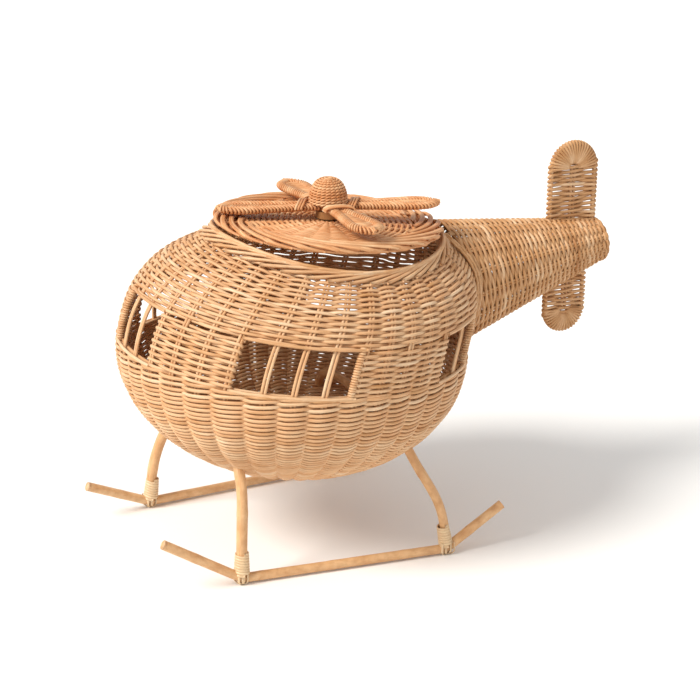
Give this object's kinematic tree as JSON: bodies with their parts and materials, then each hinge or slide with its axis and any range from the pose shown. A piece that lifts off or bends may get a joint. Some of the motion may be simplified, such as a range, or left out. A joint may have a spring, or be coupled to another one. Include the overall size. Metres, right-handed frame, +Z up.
{
  "type": "toy helicopter",
  "caption": "Round woven rattan basket shaped as a helicopter, with a lift-off lid, a rotor turning on it, barred windows, a tail boom with fins and a bent-pole skid frame.",
  "frame": {"origin": "on the ground plane, under the middle of the basket's widest ring", "axes": "+X to the nose, +Y to port (the helicopter's left), +Z up; the ground is z = 0 under the runner straps"},
  "size_m": [0.6334, 0.402, 0.433],
  "materials": {
    "wicker": "natural, unvarnished",
    "rattan_pole": "natural, unvarnished",
    "cane_binding": "natural, unvarnished",
    "lid_wicker": "natural, unvarnished",
    "rotor_wicker": "natural, unvarnished",
    "turned_wood": "natural, unvarnished"
  },
  "bodies": {
    "basket": {"base_disc": "wicker", "lower_wall": "wicker", "upper_wall": "wicker", "nose_port_pier": "wicker", "mid_port_pier": "wicker", "tail_pier": "wicker", "mid_starboard_pier": "wicker", "nose_starboard_pier": "wicker", "rim_border": "wicker", "nose_window_frame": "wicker", "port_front_window_frame": "wicker", "port_rear_window_frame": "wicker", "starboard_front_window_frame": "wicker", "starboard_rear_window_frame": "wicker", "starboard_front_header": "wicker", "starboard_rear_header": "wicker", "boom_wall": "wicker", "boom_end_cap": "wicker", "upper_fin_panel": "wicker", "lower_fin_panel": "wicker", "upper_fin_frame": "rattan_pole", "lower_fin_frame": "rattan_pole", "port_runner": "rattan_pole", "starboard_runner": "rattan_pole", "front_bow": "rattan_pole", "rear_bow": "rattan_pole", "port_front_binding": "cane_binding", "port_rear_binding": "cane_binding", "starboard_front_binding": "cane_binding", "starboard_rear_binding": "cane_binding"},
    "lid": {"lid_panel": "lid_wicker", "lid_border": "lid_wicker"},
    "rotor": {"long_blade_frame": "rotor_wicker", "long_blade_panel": "rotor_wicker", "cross_blade_frame": "rotor_wicker", "cross_blade_panel": "rotor_wicker", "hub_dome": "rotor_wicker", "hub_lashing": "rotor_wicker", "rotor_peg": "turned_wood", "peg_toggle": "turned_wood"}
  },
  "joints": [
    {"name": "lid_lift", "type": "slide", "parent": "basket", "child": "lid", "axis": [0, 0, 1], "range_m": [0, 0.25]},
    {"name": "rotor_spin", "type": "hinge", "parent": "lid", "child": "rotor", "pos_m": [-0.045, 0, 0.3873], "axis": [0, 0, 1], "continuous": true}
  ]
}
